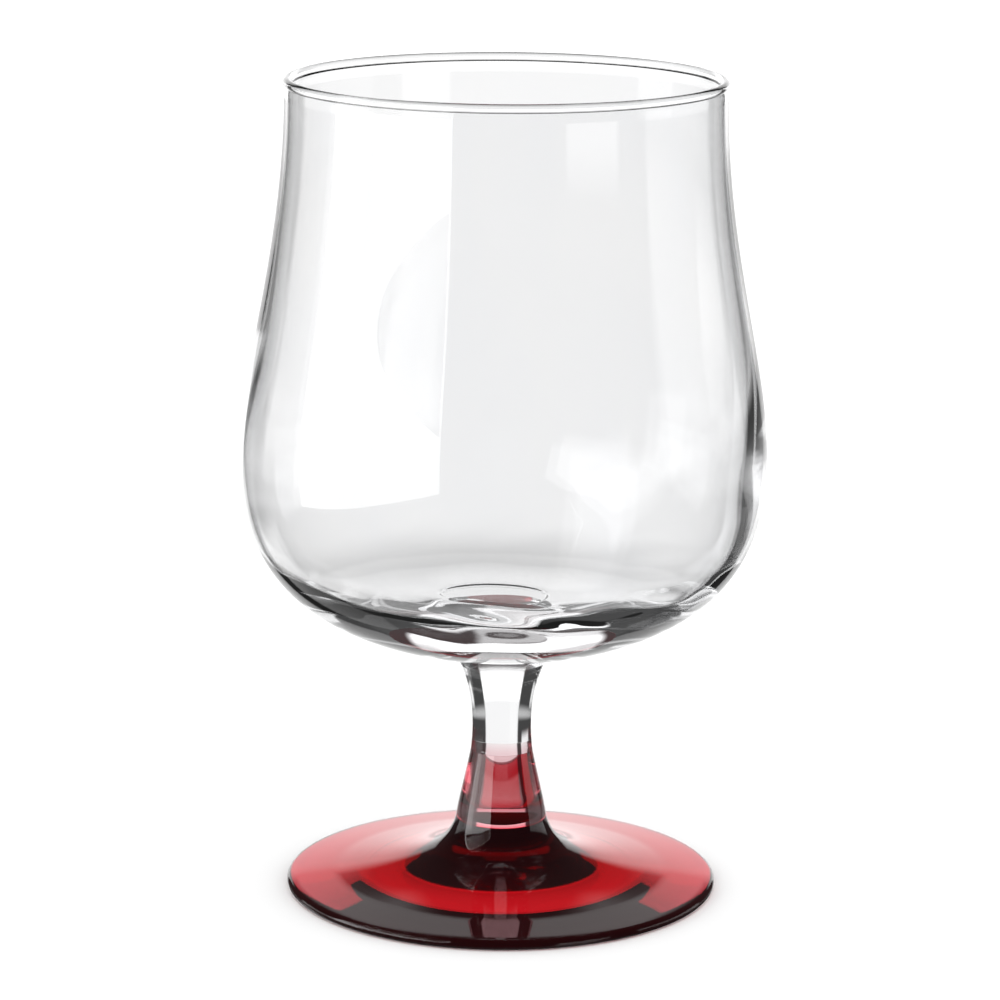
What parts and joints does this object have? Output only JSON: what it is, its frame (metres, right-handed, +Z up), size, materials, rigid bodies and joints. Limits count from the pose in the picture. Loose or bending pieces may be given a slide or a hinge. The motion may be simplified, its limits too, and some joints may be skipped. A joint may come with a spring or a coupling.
{
  "type": "wine glass",
  "caption": "Stout footed goblet with a heavy-based tulip bowl, a short clear stem and a red foot that runs up into the lower stem.",
  "frame": {"origin": "centre of the foot's underside, on the surface that the glass stands on", "axes": "+Z up along the stem's axis to the rim; the glass is turned, so X and Y are alike"},
  "size_m": [0.0954, 0.0954, 0.15],
  "materials": {
    "clear_glass": "polished clear glass",
    "red_glass": "polished ruby red glass"
  },
  "bodies": {
    "root": {"bowl": "clear_glass", "upper_stem": "clear_glass", "foot": "red_glass"}
  },
  "joints": []
}
